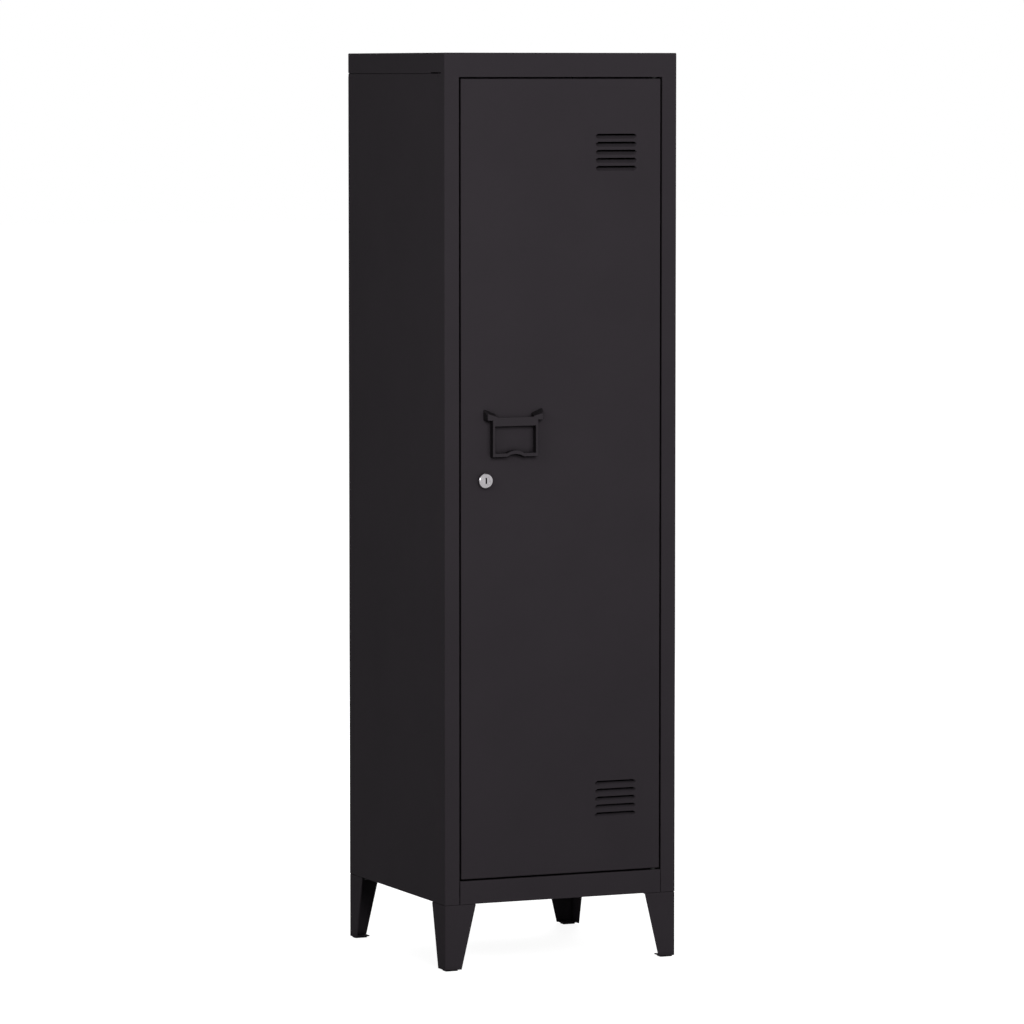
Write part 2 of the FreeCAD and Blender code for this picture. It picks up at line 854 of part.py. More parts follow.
def make_shelf(label, slot_number):
    """Folded tray shelf with a hemmed front edge, hung on four clips."""
    body = new_body(label)
    half = shelf_half_width()
    shelf_front = front + cell("shelf_setback")
    shelf_back = back_panel_front - cell("shelf_depth_gap")
    height = cell("shelf_height")
    plan = sketch_on(body, "XY_Plane")
    rectangle(plan, -half, shelf_front, half, shelf_back)
    pad(body, plan, height)
    round_edges(body, lambda edge: is_level(edge, "Z", height) and runs_along(edge, "X"), bend + sheet)
    hollow(body, sheet, lambda face: is_level(face, "Z", as_size(0)))
    hem = sketch_on(body, "XY_Plane")
    reach = half - 2 * (bend + sheet) - cell("clip_ledge")
    rectangle(hem, -reach, shelf_front + sheet / 2, reach, shelf_front + cell("shelf_hem"))
    pad(body, hem, sheet)
    place(body, 0, 0, slot_z(slot_number) - cell("clip_drop"))
    return body


def make_shelf_clips():
    clip = new_body("shelf_clip_template")
    gauge = cell("clip_sheet")
    drop = cell("clip_drop")
    ledge = sketch_on(clip, "XZ_Plane")
    path = [(0, cell("clip_rise")), (0, -drop - gauge), (cell("clip_ledge"), -drop - gauge)]
    folded_strip(ledge, path, 1, gauge)
    pad(clip, ledge, cell("clip_width"), symmetric=True)
    hook = sketch_on(clip, "XZ_Plane")
    hook_back = -(sheet + fit_gap + gauge)
    hook_top = gauge + fit_gap
    path = [(gauge / 2, hook_top), (hook_back, hook_top), (hook_back, -drop)]
    folded_strip(hook, path, 1, gauge)
    pad(clip, hook, cell("slot_width") - 2 * fit_gap, symmetric=True)
    spots = [
        (side * web_face, upright_y(end), slot_z(number), 180 if side == RIGHT else 0, 0)
        for number in (LOWER_SHELF_SLOT, MIDDLE_SHELF_SLOT, UPPER_SHELF_SLOT)
        for side in (LEFT, RIGHT)
        for end in (FRONT, BACK)
    ]
    return copies("shelf_clips", clip, spots)


# Door

def make_door_panel():
    """Folded pan with two groups of pressed air slits."""
    body = new_body("door_panel")
    plan = sketch_on(body, "XY_Plane", door_bottom)
    rectangle(plan, -door_half, front, door_half, door_back)
    pad(body, plan, door_top - door_bottom)
    round_edges(body, lambda edge: runs_along(edge, "Y") or is_level(edge, "Y", front), bend + sheet)
    hollow(body, sheet, lambda face: is_level(face, "Y", door_back))
    ring = sketch_on(body, "XZ_Plane", -door_back)
    for inset, rounded in ((sheet / 2, bend + sheet), (cell("door_return"), None)):
        rectangle(
            ring,
            inset - door_half, door_bottom + inset,
            door_half - inset, door_top - inset,
            rounded,
        )
    pad(body, ring, sheet)
    group_height = cell("louvre_pitch") * (LOUVRES_IN_A_GROUP - 1) + cell("louvre_height")
    press_louvres(body, door_top - cell("upper_louvres_from_top") + group_height / 2)
    press_louvres(body, door_bottom + cell("lower_louvres_from_bottom") + group_height / 2)
    lock_hole = sketch_on(body, "XZ_Plane", -front)
    flatted_circle(lock_hole, lock_x, door_middle, cell("lock_barrel_diameter") / 2 + cell("thread_gap"),
                   cell("lock_barrel_flats") / 2 + cell("thread_gap"))
    pocket(body, lock_hole, 4 * sheet, symmetric=True)
    for side in (LEFT, RIGHT):
        drill(body, "XZ_Plane", pull_x + side * pull_ear_screw, pull_screw_z, screw_hole, -front, 4 * sheet)
    pin_hole = cell("pin_diameter") / 2 + cell("thread_gap")
    for z in (door_bottom, door_top):
        drill(body, "XY_Plane", pivot_x, pivot_y, pin_hole, z, 4 * sheet)
    return body


def press_louvres(body, z_top):
    """A column of slits with tapered ends. Below each, the skin is pressed in as a scoop with round ends."""
    middle = door_half - cell("louvre_from_hinge_edge")
    half = cell("louvre_length") / 2
    lip_z = z_top - cell("louvre_slit")
    foot_z = z_top - cell("louvre_height")
    depth = cell("louvre_depth")
    end_radius = lip_z - foot_z
    slit_half = half - cell("louvre_taper")
    hole = sketch_on(body, "XZ_Plane", -front)
    outline(hole, [
        corner(middle - half, foot_z, end_radius),
        corner(middle + half, foot_z, end_radius),
        corner(middle + half, lip_z),
        corner(middle + slit_half, z_top),
        corner(middle - slit_half, z_top),
        corner(middle - half, lip_z),
    ])
    opening = pocket(body, hole, 3 * sheet, symmetric=True)

    def scoop_section(sketch):
        outline(sketch, [
            corner(front, foot_z - sheet),
            corner(front, foot_z),
            corner(front + depth, lip_z),
            corner(front + depth + sheet, lip_z),
            corner(front + sheet, foot_z - sheet),
        ])

    straight = sketch_on(body, "YZ_Plane", middle)
    scoop_section(straight)
    trough = pad(body, straight, 2 * (half - end_radius), symmetric=True)
    features = [opening, trough]
    for side in (LEFT, RIGHT):
        section = sketch_on(body, "YZ_Plane", middle + side * (half - end_radius))
        scoop_section(section)
        axis_start = (as_size(0), lip_z)
        axis_end = (front, lip_z)
        axis = section.addGeometry(Part.LineSegment(flat(axis_start), flat(axis_end)), True)
        pin_point(section, axis, 1, axis_start)
        pin_point(section, axis, 2, axis_end)
        scoop_end = body.newObject("PartDesign::Revolution", "scoop_end")
        scoop_end.Profile = section
        scoop_end.ReferenceAxis = (section, ["Axis0"])
        scoop_end.Angle = 90
        scoop_end.Reversed = side == LEFT
        features.append(scoop_end)
    column = pattern(body, features, "Z_Axis", cell("louvre_pitch"), LOUVRES_IN_A_GROUP)
    column.Reversed = True


def flatted_circle(sketch, x, z, radius, flat_distance):
    """A round hole with two flats, left and right, that stop the lock from turning."""
    run = math.sqrt(radius.value ** 2 - flat_distance.value ** 2)
    run = Size(run, f"sqrt({radius.text} ^ 2 - {flat_distance.text} ^ 2)")
    centre = (x, z)
    right_low = (x + flat_distance, z - run)
    right_high = (x + flat_distance, z + run)
    left_low = (x - flat_distance, z - run)
    left_high = (x - flat_distance, z + run)
    add_line(sketch, right_low, right_high)
    add_arc(sketch, right_high, left_high, radius, centre, True)
    add_line(sketch, left_high, left_low)
    add_arc(sketch, left_low, right_low, radius, centre, True)


def make_door_stiffener():
    """Hat channel on the inside of the door skin."""
    body = new_body("door_stiffener")
    gap = cell("stiffener_end_gap")
    fold = sketch_on(body, "XY_Plane", door_bottom + gap)
    middle = cell("stiffener_offset")
    half = cell("stiffener_crown") / 2
    foot = cell("stiffener_foot")
    crown = skin_back + cell("stiffener_depth")
    path = [
        (middle - half - foot, skin_back),
        (middle - half, skin_back),
        (middle - half, crown),
        (middle + half, crown),
        (middle + half, skin_back),
        (middle + half + foot, skin_back),
    ]
    folded_strip(fold, path, 1, sheet, bend)
    pad(body, fold, door_top - door_bottom - 2 * gap)
    return body


def make_door_handle():
    """Card-holder pull: a finger bar between two swept ears, over an open label frame."""
    body = new_body("door_handle")
    half = cell("pull_frame_width") / 2
    member = cell("pull_frame_member")
    sill = cell("pull_frame_sill")
    rise_half = cell("pull_sill_rise_width") / 2
    rise = cell("pull_sill_rise")
    depth = cell("pull_depth")
    edge = cell("pull_edge_round")
    sill_end = half - member / 2
    sill_face = sketch_on(body, "XZ_Plane")
    outline(sill_face, [
        corner(-sill_end, 0),
        corner(-rise_half, 0, bow=rise),
        corner(rise_half, 0),
        corner(sill_end, 0),
        corner(sill_end, sill),
        corner(rise_half, sill, bow=rise),
        corner(-rise_half, sill),
        corner(-sill_end, sill),
    ])
    pad(body, sill_face, depth)
    frame_top = cell("pull_ear_bottom") + member / 2
    for side in (LEFT, RIGHT):
        upright = sketch_on(body, "XY_Plane")
        outline(upright, [
            corner(side * (half - member), 0),
            corner(side * half, 0),
            corner(side * half, -depth, edge),
            corner(side * (half - member), -depth, edge),
        ])
        pad(body, upright, frame_top)
        make_ear(body, side)
    bar = sketch_on(body, "YZ_Plane")
    low = cell("pull_bar_bottom")
    high = low + cell("pull_bar_height")
    bar_back = cell("pull_bar_thickness") - depth
    outline(bar, [
        corner(bar_back, low),
        corner(bar_back, high),
        corner(-depth, high, edge),
        corner(-depth, low, edge),
    ])
    pad(body, bar, 2 * (cell("pull_ear_inner") + member), symmetric=True)
    for side in (LEFT, RIGHT):
        screw_z = pull_screw_z - pull_z
        drill(body, "XZ_Plane", side * pull_ear_screw, screw_z, screw_hole, 0, 2 * cell("pull_screw_depth"))
    place(body, pull_x, front, pull_z)
    return body


def make_ear(body, side):
    """Ear that spreads and sweeps upwards from the bar's face back to the door, with a bevelled face."""
    inner = cell("pull_ear_inner")
    outer = cell("pull_ear_outer")
    low = cell("pull_ear_bottom")
    spread = cell("pull_ear_spread")
    inner_top = low + cell("pull_ear_inner_height")
    outer_top = low + cell("pull_ear_outer_height")
    depth = cell("pull_depth")
    edge = cell("pull_edge_round")
    tip = cell("pull_tip_round")
    root_inner_top = inner_top + cell("pull_ear_inner_sweep")
    root_outer_top = outer_top + cell("pull_ear_outer_sweep")
    sections = []
    for offset, bottom, reach, inner_end, outer_end in (
        (0, low, outer + spread, root_inner_top, root_outer_top),
        (depth - edge, low, outer, inner_top, outer_top),
        (depth, low + edge, outer - edge, inner_top - edge, outer_top - edge),
    ):
        section = sketch_on(body, "XZ_Plane", offset)
        outline(section, [
            corner(side * inner, bottom),
            corner(side * reach, bottom, tip),
            corner(side * reach, outer_end, tip),
            corner(side * inner, inner_end),
        ])
        sections.append(section)
    ear = body.newObject("PartDesign::AdditiveLoft", "ear")
    ear.Profile = sections[0]
    ear.Sections = sections[1:]
    ear.Ruled = True
    return ear


# Hinge

def turned(label, section, x, y, z):
    """A turned piece with a plumb axis. The section is (radius, height) corners."""
    body = new_body(label)
    sketch = sketch_on(body, "XZ_Plane")
    outline(sketch, [corner(radius, height) for radius, height in section])
    revolve(body, sketch)
    place(body, x, y, z)
    return body


def make_hinge_end(which, way, door_edge, frame_face):
    """Plate, pin and bush at one end of the door. way is 1 at the top and -1 at the bottom."""
    pin_radius = cell("pin_diameter") / 2
    plate_inner = door_edge - way * sheet
    thick = cell("hinge_plate_thickness")
    plate = new_body(f"{which}_hinge_plate")
    plan = sketch_on(plate, "XY_Plane")
    reach = cell("pin_head_diameter") / 2 + cell("thread_gap")
    rectangle(plan, pivot_x + reach - cell("hinge_plate_length"), pivot_y - reach,
              pivot_x + reach, pivot_y - reach + cell("hinge_plate_width"), bend)
    circle(plan, pivot_x, pivot_y, pin_radius + cell("thread_gap"))
    pad(plate, plan, thick, backwards=way > 0)
    place(plate, 0, 0, plate_inner)
    plate_back = plate_inner - way * thick
    head = cell("pin_head_height")
    pin_end = frame_face + way * (cell("bush_length") - cell("bush_flange_height"))
    length = (pin_end - plate_back) * way
    head_radius = cell("pin_head_diameter") / 2
    tip = cell("pin_tip_bevel")
    turned(f"{which}_hinge_pin", [
        (0, -way * head),
        (head_radius, -way * head),
        (head_radius, 0),
        (pin_radius, 0),
        (pin_radius, way * (length - tip)),
        (pin_radius - tip, way * length),
        (0, way * length),
    ], pivot_x, pivot_y, plate_back)
    bore = pin_radius + cell("pin_running_gap")
    flange = cell("bush_flange_height")
    body_radius = cell("bush_diameter") / 2
    turned(f"{which}_hinge_bush", [
        (bore, -way * flange),
        (cell("bush_flange_diameter") / 2, -way * flange),
        (cell("bush_flange_diameter") / 2, 0),
        (body_radius, 0),
        (body_radius, way * (cell("bush_length") - flange)),
        (bore, way * (cell("bush_length") - flange)),
    ], pivot_x, pivot_y, frame_face)


def make_hinge():
    make_hinge_end("top", 1, door_top, opening_top)
    make_hinge_end("bottom", -1, door_bottom, opening_bottom)
    room = cell("door_gap") - cell("bush_flange_height") - cell("washer_gap")
    bore = cell("pin_diameter") / 2 + cell("thread_gap")
    rim = cell("bush_flange_diameter") / 2
    turned("hinge_washer", [(bore, -room), (rim, -room), (rim, 0), (bore, 0)], pivot_x, pivot_y, door_bottom)


# Lock

def make_lock():
    """Cam lock. Drawn about its own axis, with Y running into the door from its front face."""
    bore = cell("plug_diameter") / 2 + cell("thread_gap")
    collar = cell("lock_collar_diameter") / 2
    bevel = cell("lock_collar_bevel")
    proud = cell("lock_collar_height")
    barrel = cell("lock_barrel_diameter") / 2
    cam_y = cam_front - front
    barrel_end = cam_y - cell("cam_float")
    lock_body = new_body("lock_body")
    section = sketch_on(lock_body, "XY_Plane")
    outline(section, [
        corner(bore, -proud),
        corner(collar - bevel, -proud),
        corner(collar, bevel - proud),
        corner(collar, 0),
        corner(barrel, 0),
        corner(barrel, barrel_end),
        corner(bore, barrel_end),
    ])
    revolve(lock_body, section)
    flat_x = cell("lock_barrel_flats") / 2
    for side in (LEFT, RIGHT):
        cut_box(
            lock_body,
            (side * flat_x, 0, -barrel),
            (side * (barrel + overcut), barrel_end + overcut, barrel),
        )
    place(lock_body, lock_x, front, door_middle)

    nut = new_body("lock_nut")
    face = sketch_on(nut, "XZ_Plane", -sheet)
    hexagon(face, cell("lock_nut_flats"))
    circle(face, 0, 0, barrel + cell("thread_gap"))
    pad(nut, face, cell("lock_nut_height"), backwards=True)
    place(nut, lock_x, front, door_middle)

    plug = new_body("lock_plug")
    radius = cell("plug_diameter") / 2
    screw_bore = cell("cam_screw_diameter") / 2 + cell("thread_gap")
    screw_start = cam_y - cell("cam_screw_length")
    section = sketch_on(plug, "XY_Plane")
    outline(section, [
        corner(0, cell("plug_recess") - proud),
        corner(radius, cell("plug_recess") - proud),
        corner(radius, cam_y),
        corner(screw_bore, cam_y),
        corner(screw_bore, screw_start),
        corner(0, screw_start),
    ])
    revolve(plug, section)
    drive = sketch_on(plug, "XZ_Plane", -cam_y)
    half_square = cell("cam_square") / 2
    rectangle(drive, -half_square, -half_square, half_square, half_square)
    circle(drive, 0, 0, screw_bore)
    pad(plug, drive, cell("cam_thickness") - cell("thread_gap"), backwards=True)
    slot = sketch_on(plug, "XZ_Plane", proud)
    rectangle(slot, -cell("key_slot_width") / 2, -cell("key_slot_height") / 2,
              cell("key_slot_width") / 2, cell("key_slot_height") / 2)
    pocket(plug, slot, cell("key_slot_depth"))
    place(plug, lock_x, front, door_middle)

    cam = new_body("lock_cam")
    blade = sketch_on(cam, "XZ_Plane", -cam_y)
    half_cam = cell("cam_width") / 2
    rectangle(blade, -half_cam, -cell("cam_reach"), half_cam, half_cam, cell("cam_corner"))
    square_hole = half_square + cell("thread_gap")
    rectangle(blade, -square_hole, -square_hole, square_hole, square_hole)
    pad(cam, blade, cell("cam_thickness"), backwards=True)
    place(cam, lock_x, front, door_middle)

    screw = new_body("cam_screw")
    shank = cell("cam_screw_diameter") / 2
    head = cell("cam_screw_head") / 2
    seat = cam_y + cell("cam_thickness")
    head_height = cell("screw_head_height")
    section = sketch_on(screw, "XY_Plane")
    outline(section, [
        corner(0, screw_start + fit_gap),
        corner(shank, screw_start + fit_gap),
        corner(shank, seat),
        corner(head, seat),
        corner(head, seat + head_height - cell("screw_head_bevel")),
        corner(head - cell("screw_head_bevel"), seat + head_height),
        corner(0, seat + head_height),
    ])
    revolve(screw, section)
    place(screw, lock_x, front, door_middle)


def hexagon(sketch, across_flats):
    """Six corners with two flats level."""
    half = across_flats / 2
    side = across_flats / math.sqrt(3)
    outline(sketch, [
        corner(side, 0),
        corner(side / 2, half),
        corner(-side / 2, half),
        corner(-side, 0),
        corner(-side / 2, -half),
        corner(side / 2, -half),
    ])


# Fasteners and buffers

def make_screw_template(label):
    """Pan-head screw with its head above Z zero and its shank below."""
    body = new_body(label)
    shank = cell("screw_diameter") / 2
    head = cell("screw_head_diameter") / 2
    height = cell("screw_head_height")
    section = sketch_on(body, "XZ_Plane")
    outline(section, [
        corner(0, -cell("screw_length")),
        corner(shank, -cell("screw_length")),
        corner(shank, 0),
        corner(head, 0),
        corner(head, height - cell("screw_head_bevel")),
        corner(head - cell("screw_head_bevel"), height),
        corner(0, height),
    ])
    revolve(body, section)
    return body


def make_fasteners():
    screw = make_screw_template("screw_template")
    copies("top_screws", screw, [
        (outward(side, joint_flange / 2), y, seam - sheet, 0, 180)
        for side in (LEFT, RIGHT)
        for y in top_screw_rows()
    ])
    copies("back_screws", screw, [
        (outward(side, cell("back_return") / 2), back, z, 0, -90)
        for side in (LEFT, RIGHT)
        for z in back_screw_rows()
    ])
    copies("handle_screws", screw, [
        (pull_x + side * pull_ear_screw, skin_back, pull_screw_z, 0, -90)
        for side in (LEFT, RIGHT)
    ])
    bolt = new_body("bolt_template")
    head = sketch_on(bolt, "XY_Plane")
    hexagon(head, cell("bolt_flats"))
    pad(bolt, head, cell("bolt_head_height"), backwards=True)
    shank = sketch_on(bolt, "XY_Plane")
    circle(shank, 0, 0, cell("bolt_diameter") / 2)
    stack = cell("leg_sheet") + 2 * sheet
    pad(bolt, shank, stack + cell("nut_height") + sheet)
    nut = new_body("nut_template")
    ring = sketch_on(nut, "XY_Plane")
    hexagon(ring, cell("bolt_flats"))
    circle(ring, 0, 0, cell("bolt_diameter") / 2 + cell("thread_gap"))
    pad(nut, ring, cell("nut_height"))
    # A quarter turn brings the flats of the side bolts along the walls
    side_x = [outward(side, cell("leg_bolt_row")) for side in (LEFT, RIGHT)]
    side_spots = [(x, y, 90) for x in side_x for y in leg_bolt_rows()]
    rail_spots = [(x, rail_bolt_y(end), 0) for x in leg_bolt_columns() for end in (FRONT, BACK)]
    under_leg = body_bottom - cell("leg_sheet")
    copies("leg_bolts", bolt, [(x, y, under_leg, turn, 0) for x, y, turn in side_spots + rail_spots])
    copies("leg_nuts", nut, [
        (x, y, body_bottom + layers * sheet, turn, 0)
        for spots, layers in ((side_spots, 2), (rail_spots, 1))
        for x, y, turn in spots
    ])


def make_door_buffers():
    """Rubber stops on the lock-side lip, just clear of the closed door."""
    buffer = new_body("buffer_template")
    radius = cell("buffer_diameter") / 2
    height = lip_front - door_back - cell("buffer_gap")
    section = sketch_on(buffer, "XY_Plane")
    outline(section, [
        corner(0, 0),
        corner(0, -height),
        corner(radius - cell("buffer_bevel"), -height),
        corner(radius, cell("buffer_bevel") - height),
        corner(radius, 0),
    ])
    revolve(buffer, section)
    x = outward(LEFT, cell("stile_width") + cell("stop_width") / 2 + bend / 2)
    spots = [(x, lip_front, door_middle + way * cell("buffer_spacing") / 2, 0, 0) for way in (-1, 1)]
    return copies("door_buffers", buffer, spots)


# Assembly

def build():
    make_side_panel("left_side_panel", LEFT)
    make_side_panel("right_side_panel", RIGHT)
    make_back_panel()
    make_top_panel()
    make_bottom_panel()
    for end_name, end in (("front", FRONT), ("rear", BACK)):
        for side_name, side in (("left", LEFT), ("right", RIGHT)):
            make_leg(f"{end_name}_{side_name}_leg", side, end)
            make_upright(f"{end_name}_{side_name}_upright", side, end)
    make_foot_pads()
    make_shelf("lower_shelf", LOWER_SHELF_SLOT)
    make_shelf("middle_shelf", MIDDLE_SHELF_SLOT)
    make_shelf("upper_shelf", UPPER_SHELF_SLOT)
    make_shelf_clips()
    make_door_panel()
    make_door_stiffener()
    make_door_handle()
    make_hinge()
    make_lock()
    make_fasteners()
    make_door_buffers()


def is_sub_part(thing):
    if thing.TypeId == "Part::Compound":
        return True
    return thing.TypeId == "PartDesign::Body" and not thing.Label.endswith("_template")


def write_parts():
    document.recompute()
    for thing in document.Objects:
        if "Invalid" in thing.State or "Error" in thing.State:
            raise RuntimeError(f"{thing.Label} ({thing.TypeId}) failed: {thing.State}")
    sub_parts = [thing for thing in document.Objects if is_sub_part(thing)]
    for thing in sub_parts:
        if thing.Shape.isNull() or not thing.Shape.isValid():
            raise RuntimeError(f"{thing.Label} has no valid shape")
    os.makedirs("parts", exist_ok=True)
    for thing in sub_parts:
        thing.Shape.exportStep(f"parts/{thing.Label}.step")
        print(thing.Label, len(thing.Shape.Solids), round(thing.Shape.Volume, 1))


build()
write_parts()
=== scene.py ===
import json
import math

import bmesh
import bpy
from mathutils import Matrix, Vector


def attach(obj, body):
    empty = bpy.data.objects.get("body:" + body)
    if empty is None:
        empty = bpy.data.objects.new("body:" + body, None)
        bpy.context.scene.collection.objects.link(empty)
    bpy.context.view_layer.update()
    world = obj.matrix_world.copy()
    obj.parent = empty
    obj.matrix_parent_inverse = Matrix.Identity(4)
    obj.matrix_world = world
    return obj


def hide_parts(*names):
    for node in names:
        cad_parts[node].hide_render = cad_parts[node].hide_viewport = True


# A black steel storage cabinet in a white studio. Metres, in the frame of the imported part.
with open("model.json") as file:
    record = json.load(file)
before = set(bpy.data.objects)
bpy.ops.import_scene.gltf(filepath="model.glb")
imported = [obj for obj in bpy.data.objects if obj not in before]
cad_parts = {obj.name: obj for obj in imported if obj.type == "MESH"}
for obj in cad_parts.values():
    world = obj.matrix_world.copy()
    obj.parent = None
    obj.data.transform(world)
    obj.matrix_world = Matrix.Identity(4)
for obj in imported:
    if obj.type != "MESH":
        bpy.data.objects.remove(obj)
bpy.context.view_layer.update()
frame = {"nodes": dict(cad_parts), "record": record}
nodes = frame["nodes"]
record = frame["record"]
node_slots = {entry["node"]: entry["material_slot"] for entry in record["subparts"]}
node_bodies = {node: body for body, held in record["behaviour"]["bodies"].items() for node in held}

# The camera's place, aim and lens, as fitted to the photograph
CAMERA_SPOT = (-3.4654, -7.9074, 1.3395)
CAMERA_YAW = math.radians(23.6811)
CAMERA_PITCH = math.radians(4.4252)
CAMERA_LENS_MM = 198.71
CAMERA_SENSOR_MM = 36.0
CAMERA_SIGHT_END = 200.0

# Colours, linear
COAT_COLOUR = (0.0250, 0.0217, 0.0250)
PULL_COLOUR = (0.0245, 0.0213, 0.0245)
CHROME_COLOUR = (0.38, 0.365, 0.38)
ZINC_COLOUR = (0.46, 0.47, 0.48)
OXIDE_COLOUR = (0.016, 0.016, 0.017)
NYLON_COLOUR = (0.018, 0.018, 0.018)
RUBBER_COLOUR = (0.014, 0.014, 0.014)
FLOOR_COLOUR = (0.26, 0.26, 0.26)
STUDIO_COLOUR = (1.0, 1.0, 1.0)

# Surfaces. A SCALE counts noise cells in a metre, a SPAN is the part of a value's range that is used,
# a SHADE multiplies the colour, and a REACH or HEIGHT is in metres.
FULL_SPAN = (0.0, 1.0)
NOISE_SPAN = (0.3, 0.7)
CLOUD_DETAIL = 3.0
GRAIN_DETAIL = 2.0
OPENNESS_SAMPLES = 6
BUMP_STRENGTH = 1.0

COAT_SPECULAR = 0.008
COAT_ROUGHNESS = (0.56, 0.7)
COAT_CLOUD_SCALE = 9.0
COAT_CLOUD_SHADES = (0.96, 1.04)
COAT_GRAIN_SCALE = 1400.0
COAT_GRAIN_HEIGHT = 0.00005
COAT_SPECKLE_SPAN = (0.35, 0.7)
COAT_SPECKLE_SHARE = 0.35
COAT_SPECKLE_SHADE = 1.3
# Painted shade: the coat's colour is darkened where ambient occlusion finds other surfaces near, in seams,
# corners and round raised parts.
COAT_PAINTED_SHADE_REACH = 0.009
COAT_PAINTED_SHADE_SPAN = (0.25, 0.9)
COAT_PAINTED_SHADE = 0.25

CHROME_ROUGHNESS = (0.2, 0.28)
CHROME_CLOUD_SCALE = 160.0
CHROME_CLOUD_SHADES = (0.92, 1.06)
# Painted shade down in the lock's key slot
CHROME_SLOT_PAINTED_SHADE_REACH = 0.004
CHROME_SLOT_PAINTED_SHADE_SPAN = (0.3, 0.8)
CHROME_SLOT_PAINTED_SHADE = 0.03

ZINC_ROUGHNESS = (0.34, 0.48)
ZINC_CLOUD_SCALE = 220.0
ZINC_CLOUD_SHADES = (0.85, 1.08)

MOULD_GRAIN_SCALE = 2200.0
MOULD_GRAIN_SHADES = (0.9, 1.1)
MOULD_GRAIN_HEIGHT = 0.00003

# The studio's light, from its walls at the horizon up to its darker ceiling. WALL_TOP and CEILING_START
# are upward parts of a direction, from 0 at the horizon to 1 straight up.
BACKGROUND_WHITE = 1.0
WALL_FILL = 0.44
CEILING_FILL = 0.15
WALL_TOP = 0.0
CEILING_START = 0.55

# Square lamps in front, on both sides and behind
LAMPS = {
    "key": {"watts": 109.0, "size": 1.8, "spot": (-0.4, -3.4, 2.0), "aim": (0.0, 0.0, 1.0)},
    "left": {"watts": 9.0, "size": 0.7, "spot": (-1.6, -0.8, 1.33), "aim": (0.0, 0.0, 1.0)},
    "right": {"watts": 12.0, "size": 1.2, "spot": (2.4, -1.0, 1.5), "aim": (0.0, 0.0, 0.8)},
    "back": {"watts": 140.0, "size": 1.8, "spot": (1.6, 3.2, 2.4), "aim": (0.0, 0.0, 0.8)},
}

FLOOR_HALF = 40.0
FLOOR_GLOW_AT_FEET = 0.9
FLOOR_SHADOW_REACH = 1.2

# Cross-recess screws: the way that each node's heads face
SCREW_HEADS_FACE = {
    "back_screws": (0.0, 1.0, 0.0),
    "top_screws": (0.0, 0.0, -1.0),
    "handle_screws": (0.0, 1.0, 0.0),
    "cam_screw": (0.0, 1.0, 0.0),
}
SCREW_HEAD_HEIGHT = 0.0024
SCREW_THREAD_PITCH = 0.0008
SCREW_RECESS_DEPTH = 0.0015
# The head's profile, as shares of its radius and of its height
SCREW_DOME = ((1.0, 0.0), (1.0, 0.42), (0.95, 0.58), (0.84, 0.76), (0.7, 0.9), (0.6, 0.96))
# Shares of the head's radius. The recess has the reach and the half width of its arms.
SCREW_SHANK = 0.48
SCREW_THREAD_DEPTH = 0.07
SCREW_RECESS_TOP = (0.5, 0.12)
SCREW_RECESS_FLOOR = (0.28, 0.08)
SCREW_SIDES = 32
SCREW_SHARP_ANGLE = math.radians(30.0)
# Each screw of a node is turned this much further than the one before it
SCREW_TURN_EACH = math.radians(37.0)
# A corner nearer than this to a screw's first corner belongs to that screw
SCREWS_APART = 0.02


def add_node(tree, kind, inputs=None, **settings):
    """A new shader node. Each of its inputs gets a plain value, or a link from another node's output."""
    node = tree.nodes.new(kind)
    for name, value in settings.items():
        setattr(node, name, value)
    for name, value in (inputs or {}).items():
        if isinstance(value, bpy.types.NodeSocket):
            tree.links.new(value, node.inputs[name])
        else:
            node.inputs[name].default_value = value
    return node


def map_range(tree, value, span, to_span, **settings):
    """Maps a value from one span to another, and holds it at the ends."""
    inputs = {
        "Value": value,
        "From Min": span[0],
        "From Max": span[1],
        "To Min": to_span[0],
        "To Max": to_span[1],
    }
    return add_node(tree, "ShaderNodeMapRange", inputs, **settings).outputs["Result"]


class Shader:
    """A material whose nodes are added and linked by short calls."""

    def __init__(self, name, **numbers):
        self.material = bpy.data.materials.new(name)
        self.material.use_nodes = True
        self.tree = self.material.node_tree
        self.surface = self.tree.nodes["Principled BSDF"]
        for words, value in numbers.items():
            self.surface.inputs[words.replace("_", " ")].default_value = value
        self.place = add_node(self.tree, "ShaderNodeTexCoord").outputs["Object"]

    def noise(self, scale, detail):
        inputs = {"Vector": self.place, "Scale": scale, "Detail": detail}
        return add_node(self.tree, "ShaderNodeTexNoise", inputs).outputs["Fac"]

    def spread(self, value, span, to_span=FULL_SPAN):
        return map_range(self.tree, value, span, to_span)

    def mix(self, share, first, second):
        """Blends two colours, each a plain colour or the output of another node."""
        node = add_node(self.tree, "ShaderNodeMix", {"Factor": share}, data_type="RGBA")
        colour_inputs = [socket for socket in node.inputs if socket.type == "RGBA"]
        for socket, colour in zip(colour_inputs, (first, second)):
            if isinstance(colour, bpy.types.NodeSocket):
                self.tree.links.new(colour, socket)
            else:
                socket.default_value = (*colour, 1.0)
        return next(socket for socket in node.outputs if socket.type == "RGBA")

    def openness(self, reach, own_only=False):
        """1 in the open, down to 0 deep in a seam or corner, or in a slot of the piece's own. The materials
        darken their colour by it, which paints shade there.
        """
        settings = {"samples": OPENNESS_SAMPLES, "only_local": own_only}
        node = add_node(self.tree, "ShaderNodeAmbientOcclusion", {"Distance": reach}, **settings)
        return node.outputs["AO"]

    def feed(self, socket, value):
        self.tree.links.new(value, self.surface.inputs[socket])

    def bump(self, height, distance):
        inputs = {"Height": height, "Distance": distance, "Strength": BUMP_STRENGTH}
        self.feed("Normal", add_node(self.tree, "ShaderNodeBump", inputs).outputs["Normal"])


def shade(colour, factor):
    return tuple(channel * factor for channel in colour)


def shades(colour, factors):
    return [shade(colour, factor) for factor in factors]


